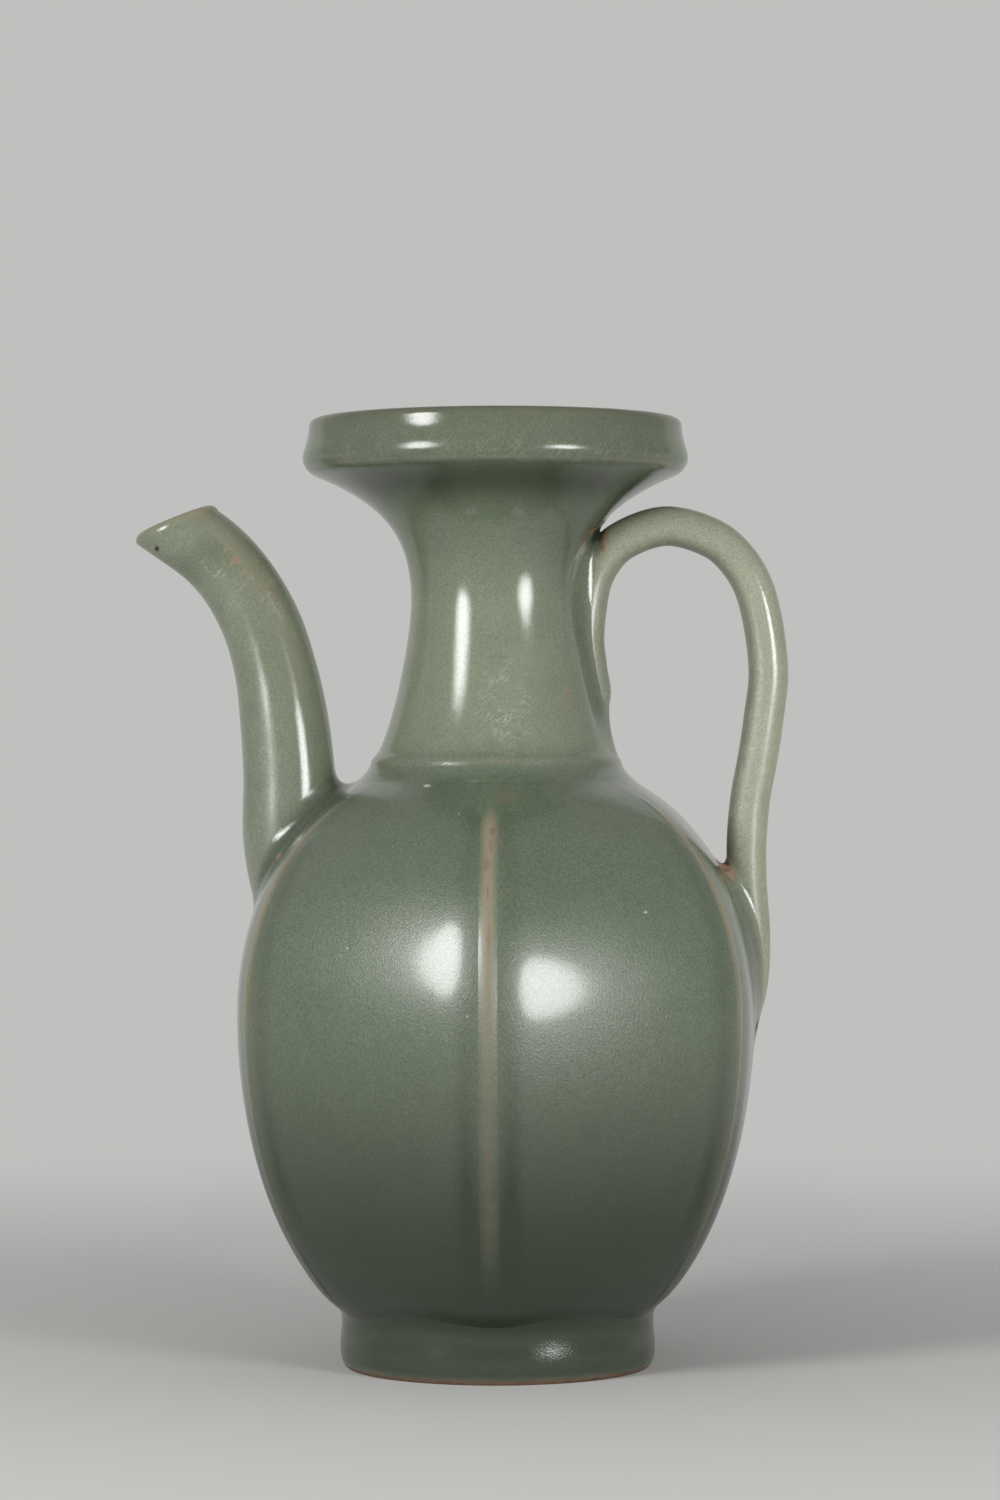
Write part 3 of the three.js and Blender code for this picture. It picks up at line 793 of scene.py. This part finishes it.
outer = stretch(NECK_SEAT, DISH_SEAT)
inner = inward(outer, WALL)[::-2]
inner[0, 1], inner[-1, 1] = DISH_SEAT, NECK_SEAT
grid = thrown(np.concatenate([outer, inner]))
height = grid[..., 2]
above = ease(height, NECK_SEAT, NECK_SEAT + 0.012)
flare = ease(height, 0.19, DISH_SEAT)
# Painted shade: the flare, which faces down, is darker and less pale than the rest of the neck.
neck = closed_skin(
    "glazed_neck", grid, satin=1 - above, bare=crevice_clay(grid, len(outer)),
    pool=np.clip(run_down_and_shade(height) * (1 - above) + 0.18 * flare + 0.25 * bell(loops_gap(grid), 0, 0.004)
                 + crevice_pool(grid), 0, 1),
    thin=0.08 * above + 0.25 * bell(height, RING_HEIGHT, 0.0012),
    pale=0.34 * above * (1 - flare) + 0.1 * flare,
    worn=0.05 + 1.2 * bell(height, 0.167, 0.011) * bell(ring, np.radians(277), np.radians(12)),
)
finish(neck, "celadon_glaze", "neck", "neck_ring", coat=neck_glaze)


# Dish mouth: a thrown stoneware flare that opens into a shallow dish, joined to the neck with slip.
# Its lip is rounded, and the glaze has run thin there, so that the clay shows buff.

DISH_WALL = 0.004
LIP_DEPTH = 0.0019
outer = stretch(DISH_SEAT, LIP_HEIGHT - LIP_DEPTH)
inner = inward(outer, DISH_WALL)[::-1]
inner = inner[inner[:, 1] > DISH_SEAT + 0.001]
lip_middle = (outer[-1] + inner[0]) / 2
lip_half = np.linalg.norm(outer[-1] - inner[0]) / 2
lip = np.stack([lip_middle[0] + lip_half * np.cos(half_turn),
                outer[-1, 1] + LIP_DEPTH * np.sin(half_turn)], axis=1)
seat = [[inner[-1, 0] - 0.0004, DISH_SEAT]]
grid = thrown(np.concatenate([outer, lip, inner, seat]))
height = grid[..., 2]
rim = bell(height, LIP_HEIGHT, 0.0034)
edge = bell(height, DISH_CORNER + 0.0006, 0.0006)
# Painted shade: the band under the dish's corner, which the overhang shades, is darkened nearly to the deep
# green; the dish is also a little darker all over and at the rim.
dish = closed_skin(
    "glazed_dish", grid, pale=0.1, bare=crevice_clay(grid, len(outer)),
    pool=np.clip(0.18 + 0.74 * bell(height, DISH_CORNER - 0.004, 0.005) + 0.35 * rim
                 + crevice_pool(grid), 0, 1),
    thin=0.08 + 0.25 * rim + 0.25 * edge, worn=0.28 * bell(height, 0.2295, 0.004),
)
finish(dish, "celadon_glaze", "dish_mouth")


# Ribs: six low strips of clay laid over the corners between the panels before glazing. The glaze
# runs off them, so they show buff, with a few burnt spots on the front one.

RIB_HALF = 0.0026
SIDE_RIB_HALF = 0.7 * RIB_HALF
RIB_RISE = 0.0003
RIB_SINK = 0.00004
RIB_DEPTH = 0.0008
RIB_LOW = 0.0178
RIB_HIGH = 0.1446
BURNT = tint(116, 88, 64)
streaks = [(0.0007, 0.1362, 0.0007, 0.0014, 0.5), (0.0004, 0.1325, 0.0005, 0.004, 0.35),
           (-0.0005, 0.1285, 0.001, 0.0022, 0.35), (-0.0001, 0.1215, 0.0004, 0.006, 0.45),
           (0.0002, 0.1105, 0.0005, 0.005, 0.25), (0.0, 0.0595, 0.0006, 0.0035, 0.4)]
rib_glaze = celadon("thin_glaze_rib", [
    ((AXIS_X + right, at(0, high)[1], high), wide, tall, strength, BURNT)
    for right, high, wide, tall, strength in streaks])

bed = stretch(RIB_LOW, RIB_HIGH)
along = tangents(bed)
run = travelled(bed)
fade = np.clip(np.minimum(run / 0.02, (run[-1] - run) / 0.009), 0, 1)
fade = np.sqrt(fade * (2 - fade))[:, None]
shows = ease(np.minimum(run / 0.03, (run[-1] - run) / 0.012), 0, 1)[:, None]
across = np.linspace(-1, 1, 21)[None, :]
crest = np.cos(across * np.pi / 2) ** 1.5
# Painted shade: the ribs' buff is weaker lower down, so that they darken towards the bottom.
thin = (0.3 + 0.56 * ease(bed[:, 1:], 0.055, 0.12)) * shows * crest + 0.16 * shows * (1 - crest)
pool = run_down_and_shade(bed[:, 1:]) + 0 * across


def strip(azimuth, rise):
    """The rib's bed moved out square to the wall by a rise, at an azimuth for each point across."""
    return turned(bed[:, :1] + along[:, 1:] * rise, bed[:, 1:] - along[:, :1] * rise, azimuth)


def wrapped(layer):
    """A layer of the rib's top, with nothing on its underside, carried on over its two ends."""
    section = np.concatenate([layer, 0 * layer[:, ::-5]], axis=1)
    return np.concatenate([section[:1], section, section[-1:]])


names = ["rib_right_back", "rib_back", "rib_left_back", "rib_left_front", "rib_front", "rib_right_front"]
for number, name in enumerate(names):
    half = (RIB_HALF if name in ("rib_front", "rib_back") else SIDE_RIB_HALF) * (0.6 + 0.4 * fade)
    azimuth = (number + 0.5) * 2 * np.pi / LOBES + across * half / bed[:, :1]
    top = strip(azimuth, RIB_RISE * crest * fade - RIB_SINK)
    section = np.concatenate([top, strip(azimuth[:, ::-5], -RIB_DEPTH)], axis=1)
    middle = section.mean(axis=1, keepdims=True)
    cap = [np.repeat(middle[[k]], section.shape[1], axis=1) for k in (0, -1)]
    grid = np.concatenate([cap[0], section, cap[1]])
    rib = closed_skin("glazed_" + name, grid, pool=wrapped(pool), thin=wrapped(thin), satin=1.0)
    finish(rib, "thin_glaze", name, coat=rib_glaze)


# Studio: pale paper that lies as the floor and sweeps up into a backdrop. Away from the pot the eye
# and the glaze's reflections see it in its own pale colour, whatever light reaches it.

FLOOR_HALF = 3.2
SWEEP_START = 1.6
SWEEP_RADIUS = 1.2
BACKDROP_TOP = 3.6
PAPER = tint(240, 239, 236)
PAPER_SEEN = tint(192, 192, 190)
bend = np.linspace(0, np.pi / 2, 24)
curve = np.stack([SWEEP_START + SWEEP_RADIUS * np.sin(bend), SWEEP_RADIUS - SWEEP_RADIUS * np.cos(bend)],
                 axis=1)
sweep = np.array([[-FLOOR_HALF, 0], *curve, [SWEEP_START + SWEEP_RADIUS, BACKDROP_TOP]])
places = [(x, y, z) for y, z in sweep for x in (-FLOOR_HALF, FLOOR_HALF)]
faces = [(2 * k, 2 * k + 1, 2 * k + 3, 2 * k + 2) for k in range(len(sweep) - 1)]
floor_mesh = bpy.data.meshes.new("floor")
floor_mesh.from_pydata(places, [], faces)
floor_mesh.shade_smooth()
floor_piece = bpy.data.objects.new("floor", floor_mesh)
bpy.context.collection.objects.link(floor_piece)
paper = bpy.data.materials.new("pale_paper")
paper.use_nodes = True
tree = paper.node_tree
shader = tree.nodes["Principled BSDF"]
shader.inputs["Base Color"].default_value = PAPER
shader.inputs["Roughness"].default_value = 0.9
start = Wire(tree, None)
away = start.node("ShaderNodeTexCoord", out="Object").vector("LENGTH", out=1)
seen = start.node("ShaderNodeLightPath", out="Is Camera Ray")
for ray in ("Is Glossy Ray", "Is Transmission Ray"):
    seen = seen.maths("MAXIMUM", start.node("ShaderNodeLightPath", out=ray))
glow = start.node("ShaderNodeEmission", Color=PAPER_SEEN)
shown = start.node("ShaderNodeMixShader", i0=seen * away.ramp(0.05, 0.62), i1=Wire(tree, shader.outputs[0]),
                   i2=glow)
tree.links.new(shown.socket, tree.nodes["Material Output"].inputs["Surface"])
floor_mesh.materials.append(paper)


# Lamps and world: two oval soft boxes in front of the pot, one left and high, one right and lower,
# and a pale world that fills the shadows.

LAMP_DISTANCE = 0.8
LAMP_RADIANCE = 13.5
WORLD_COLOUR = (0.94, 0.95, 0.96, 1)
WORLD_STRENGTH = 0.28
world = bpy.data.worlds.new("pale_world")
bpy.context.scene.world = world
world.use_nodes = True
background = world.node_tree.nodes["Background"]
background.inputs["Color"].default_value = WORLD_COLOUR
background.inputs["Strength"].default_value = WORLD_STRENGTH


def soft_box(name, azimuth, low, high, width):
    """An oval lamp at degrees from the front, positive to the right, between two heights. Its power
    is its radiance times pi times its area."""
    lamp = bpy.data.lights.new(name, "AREA")
    lamp.shape = "ELLIPSE"
    lamp.size, lamp.size_y = width, high - low
    lamp.energy = LAMP_RADIANCE * np.pi * lamp.size * lamp.size_y * np.pi / 4
    holder = bpy.data.objects.new(name, lamp)
    bpy.context.collection.objects.link(holder)
    turned_by = np.radians(azimuth)
    holder.location = (AXIS_X + LAMP_DISTANCE * np.sin(turned_by), -LAMP_DISTANCE * np.cos(turned_by),
                       (low + high) / 2)
    holder.rotation_euler = (np.pi / 2, 0, turned_by)


soft_box("left_box", -43, 0.17, 0.58, 0.25)
soft_box("right_box", 42, 0.07, 0.365, 0.26)


# Camera: level and a little right of the middle, at the eye height that shows the dish from a little
# below. It looks slightly aside and is slightly rolled, to match the photograph.

EYE_HEIGHT = 0.156
EYE_DISTANCE = 1.118
EYE_TURN = np.radians(1.8)
EYE_ASIDE = np.radians(0.05)
EYE_ROLL = np.radians(0.15)
LENS = 105.6
camera_data = bpy.data.cameras.new("camera")
camera_data.sensor_width = 36
camera_data.lens = LENS
camera = bpy.data.objects.new("camera", camera_data)
bpy.context.collection.objects.link(camera)
camera.location = (AXIS_X + EYE_DISTANCE * np.sin(EYE_TURN), -EYE_DISTANCE * np.cos(EYE_TURN), EYE_HEIGHT)
camera.rotation_euler = (np.pi / 2, EYE_ROLL, EYE_TURN - EYE_ASIDE)
bpy.context.scene.camera = camera
bpy.context.scene.view_settings.view_transform = "Standard"
